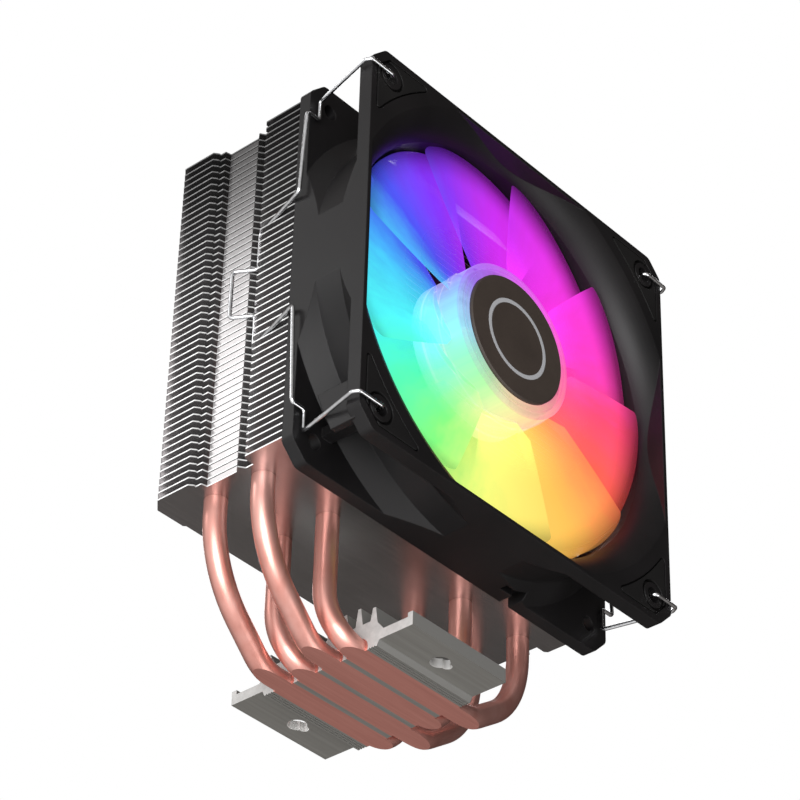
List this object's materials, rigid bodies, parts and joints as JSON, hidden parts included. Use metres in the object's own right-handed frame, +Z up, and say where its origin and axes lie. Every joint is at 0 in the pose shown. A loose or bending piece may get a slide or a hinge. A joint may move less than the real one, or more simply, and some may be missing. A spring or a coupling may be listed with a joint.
{
  "type": "cpu tower cooler",
  "caption": "Tower cooler: copper heat pipes set flush in an aluminium base carry heat up a stack of thin fins, cooled by a lit axial fan held on by sprung wire clips.",
  "frame": {"origin": "centre of the machined contact face under the base", "axes": "+Z up from the base to the pipes' closed tips; the fan is on the -Y side and blows towards +Y; +X is to the right seen from the fan"},
  "size_m": [0.1246, 0.0814, 0.1494],
  "materials": {
    "base_aluminium": "machined and extruded aluminium",
    "copper": "bare copper, machined flat underneath",
    "fin_aluminium": "stamped sheet, bright edges",
    "black_plastic": "fine matte texture",
    "black_rubber": "matte",
    "bearing_metal": "turned",
    "motor_steel": "dark steel",
    "winding": "enamelled wire",
    "board": "solder mask",
    "led": "clear lens",
    "glow_plastic": "translucent, lit in many colours from the hub",
    "badge": "dark disc with a thin bright ring",
    "bearing_steel": "ground",
    "wire_steel": "bright spring wire"
  },
  "bodies": {
    "cooler": {"base_block": "base_aluminium", "heat_pipe_1": "copper", "heat_pipe_2": "copper", "heat_pipe_3": "copper", "heat_pipe_4": "copper", "fins_lower": "fin_aluminium", "fins_middle": "fin_aluminium", "fins_upper": "fin_aluminium", "fan_frame": "black_plastic", "corner_pads_front": "black_rubber", "corner_pads_rear": "black_rubber", "bearing_housing": "bearing_metal", "bearing_sleeve": "bearing_metal", "bearing_cap": "black_rubber", "stator_core": "motor_steel", "stator_coils": "winding", "circuit_board": "board", "leds": "led"},
    "rotor": {"impeller": "glow_plastic", "hub_badge": "badge", "rotor_yoke": "motor_steel", "magnet_ring": "motor_steel", "shaft": "bearing_steel", "shaft_clip": "bearing_steel"},
    "left_wire_clip": {"clip_left": "wire_steel"},
    "right_wire_clip": {"clip_right": "wire_steel"}
  },
  "joints": [
    {"name": "fan_spin", "type": "hinge", "parent": "cooler", "child": "rotor", "pos_m": [0, -0.0374, 0.089], "axis": [0, 1, 0], "continuous": true},
    {"name": "left_clip_swing", "type": "hinge", "parent": "cooler", "child": "left_wire_clip", "pos_m": [-0.0525, -0.05075, 0.089], "axis": [0, 0, 1], "range_deg": [0, 14]},
    {"name": "right_clip_swing", "type": "hinge", "parent": "cooler", "child": "right_wire_clip", "pos_m": [0.0525, -0.05075, 0.089], "axis": [0, 0, -1], "range_deg": [0, 14]}
  ]
}
